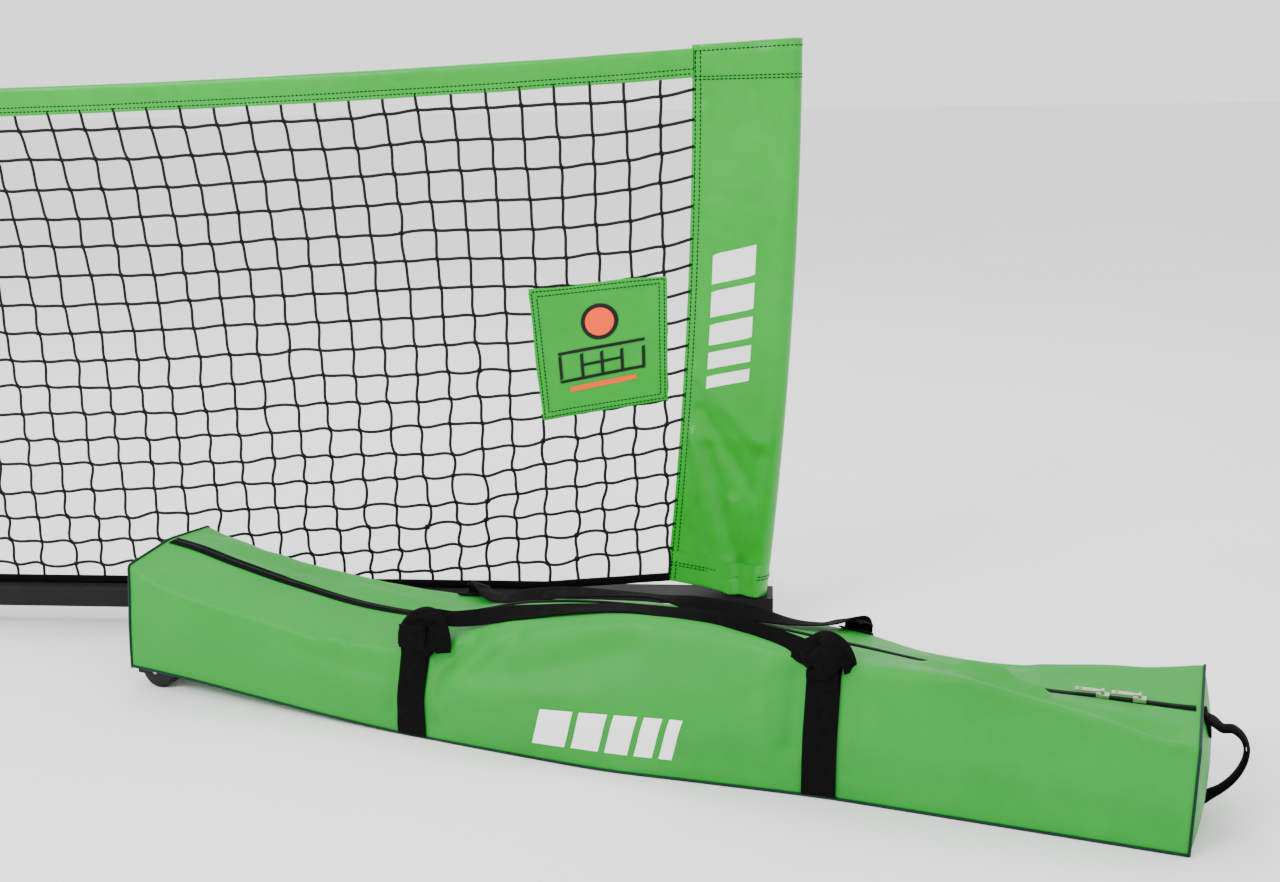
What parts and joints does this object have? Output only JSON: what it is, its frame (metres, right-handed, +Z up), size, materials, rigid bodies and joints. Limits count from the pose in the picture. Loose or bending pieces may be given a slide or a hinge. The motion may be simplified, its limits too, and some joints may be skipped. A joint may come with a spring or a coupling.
{
  "type": "portable court net",
  "caption": "Free-standing low court net on a sectional steel base with bowed end posts and swivelling feet, with its wheeled zip carry bag.",
  "frame": {"origin": "on the floor under the middle of the net, at the sole of the centre foot", "axes": "+X along the net towards the end that the bag lies beside, +Y behind the net, away from the bag, +Z up"},
  "size_m": [6.0745, 0.9364, 0.916],
  "materials": {
    "base_black": "satin black powder coat",
    "zinc_steel": "zinc plated",
    "black_plastic": "moulded",
    "black_rubber": "matt",
    "netting_cord": "twisted knotted cord",
    "green_vinyl": "coated vinyl tarpaulin, soft sheen",
    "patch_fabric": "coated fabric with a printed court motif",
    "black_webbing": "woven webbing",
    "bag_fabric": "coated polyester",
    "zip_tape": "zip tape",
    "nickel": "nickel",
    "wheel_black": "moulded wheel"
  },
  "bodies": {
    "frame": {"base_section_1": "base_black", "base_section_2": "base_black", "base_section_3": "base_black", "base_section_4": "base_black", "coupler_left": "zinc_steel", "coupler_centre": "zinc_steel", "coupler_right": "zinc_steel", "button_spring_left": "zinc_steel", "button_spring_centre": "zinc_steel", "button_spring_right": "zinc_steel", "bar_end_caps": "black_plastic", "centre_saddle": "base_black", "saddle_bolt": "zinc_steel", "pivot_studs": "zinc_steel", "pivot_nuts": "zinc_steel", "pivot_washers": "black_plastic", "post_socket_left": "base_black", "post_socket_right": "base_black", "netting": "netting_cord", "headband": "green_vinyl", "headline_strap": "black_webbing", "bottom_webbing": "black_webbing", "net_patch": "patch_fabric"},
    "button_left": {"lock_button_left": "zinc_steel"},
    "button_centre": {"lock_button_centre": "zinc_steel"},
    "button_right": {"lock_button_right": "zinc_steel"},
    "left_foot": {"foot_left": "base_black", "foot_caps_left": "black_rubber"},
    "centre_foot": {"foot_centre": "base_black", "foot_caps_centre": "black_rubber", "foot_centre_pad": "black_rubber"},
    "right_foot": {"foot_right": "base_black", "foot_caps_right": "black_rubber"},
    "left_post": {"post_left": "base_black", "post_cap_left": "black_plastic", "sleeve_left": "green_vinyl"},
    "right_post": {"post_right": "base_black", "post_cap_right": "black_plastic", "sleeve_right": "green_vinyl"},
    "bag": {"bag_bottom": "bag_fabric", "bag_front": "bag_fabric", "bag_back": "bag_fabric", "bag_end_left": "bag_fabric", "bag_end_right": "bag_fabric", "bag_top_front": "bag_fabric", "bag_top_back": "bag_fabric", "bag_zip_chain": "zip_tape", "bag_straps": "black_webbing", "wheel_housing": "black_plastic", "wheel_axle": "zinc_steel"},
    "slider_1": {"zip_slider_1": "nickel"},
    "slider_2": {"zip_slider_2": "nickel"},
    "pull_1": {"zip_pull_1": "nickel"},
    "pull_2": {"zip_pull_2": "nickel"},
    "front_handle": {"carry_handle_front": "black_webbing"},
    "back_handle": {"carry_handle_back": "black_webbing"},
    "tow_handle": {"end_handle": "black_webbing"},
    "wheel_f": {"wheel_front": "wheel_black"},
    "wheel_b": {"wheel_back": "wheel_black"}
  },
  "joints": [
    {"name": "button_left_press", "type": "slide", "parent": "frame", "child": "button_left", "axis": [0, 0, 1], "range_m": [0, 0.0045], "stiffness_N_per_m": 500, "springref_m": -0.003, "deforming": ["button_spring_left"]},
    {"name": "button_centre_press", "type": "slide", "parent": "frame", "child": "button_centre", "axis": [0, 0, 1], "range_m": [0, 0.0045], "stiffness_N_per_m": 500, "springref_m": -0.003, "deforming": ["button_spring_centre"]},
    {"name": "button_right_press", "type": "slide", "parent": "frame", "child": "button_right", "axis": [0, 0, 1], "range_m": [0, 0.0045], "stiffness_N_per_m": 500, "springref_m": -0.003, "deforming": ["button_spring_right"]},
    {"name": "left_foot_swivel", "type": "hinge", "parent": "frame", "child": "left_foot", "pos_m": [-2.697, 0, 0.035], "axis": [0, 0, 1], "range_deg": [0, 90]},
    {"name": "centre_foot_swivel", "type": "hinge", "parent": "frame", "child": "centre_foot", "pos_m": [0, 0, 0.035], "axis": [0, 0, 1], "range_deg": [0, 90]},
    {"name": "right_foot_swivel", "type": "hinge", "parent": "frame", "child": "right_foot", "pos_m": [2.697, 0, 0.035], "axis": [0, 0, 1], "range_deg": [0, 90]},
    {"name": "left_post_lift", "type": "slide", "parent": "frame", "child": "left_post", "axis": [-0.1059, 0, 0.9944], "range_m": [0, 0.1]},
    {"name": "right_post_lift", "type": "slide", "parent": "frame", "child": "right_post", "axis": [0.1059, 0, 0.9944], "range_m": [0, 0.1]},
    {"name": "bag_roll", "type": "slide", "parent": "frame", "child": "bag", "axis": [0.9609, -0.2771, 0], "range_m": [0, 0.5]},
    {"name": "zip_slider_1_travel", "type": "slide", "parent": "bag", "child": "slider_1", "axis": [0.9607, -0.277, 0.02], "range_m": [-0.07, 0]},
    {"name": "zip_slider_2_travel", "type": "slide", "parent": "bag", "child": "slider_2", "axis": [0.9607, -0.277, 0.02], "range_m": [0, 0.03]},
    {"name": "zip_pull_1_flip", "type": "hinge", "parent": "slider_1", "child": "pull_1", "pos_m": [3.13517, -0.53901, 0.14776], "axis": [0.2771, 0.9609, 0], "range_deg": [0, 110]},
    {"name": "zip_pull_2_flip", "type": "hinge", "parent": "slider_2", "child": "pull_2", "pos_m": [3.17555, -0.55066, 0.1486], "axis": [0.2771, 0.9609, 0], "range_deg": [0, 170]},
    {"name": "front_handle_lift", "type": "hinge", "parent": "bag", "child": "front_handle", "pos_m": [2.26084, -0.38915, 0.15972], "axis": [0.9601, -0.2769, 0.0384], "range_deg": [0, 185]},
    {"name": "back_handle_lift", "type": "hinge", "parent": "bag", "child": "back_handle", "pos_m": [2.31529, -0.20035, 0.15972], "axis": [-0.9601, 0.2769, -0.0384], "range_deg": [0, 185]},
    {"name": "tow_handle_swing", "type": "hinge", "parent": "bag", "child": "tow_handle", "pos_m": [3.24642, -0.57109, 0.07586], "axis": [0.021, -0.0061, 0.9998], "range_deg": [-25, 25]},
    {"name": "wheel_front_spin", "type": "hinge", "parent": "bag", "child": "wheel_f", "pos_m": [1.84183, -0.24335, 0.0275], "axis": [0.2771, 0.9609, 0], "continuous": true},
    {"name": "wheel_back_spin", "type": "hinge", "parent": "bag", "child": "wheel_b", "pos_m": [1.88298, -0.10067, 0.0275], "axis": [0.2771, 0.9609, 0], "continuous": true}
  ]
}
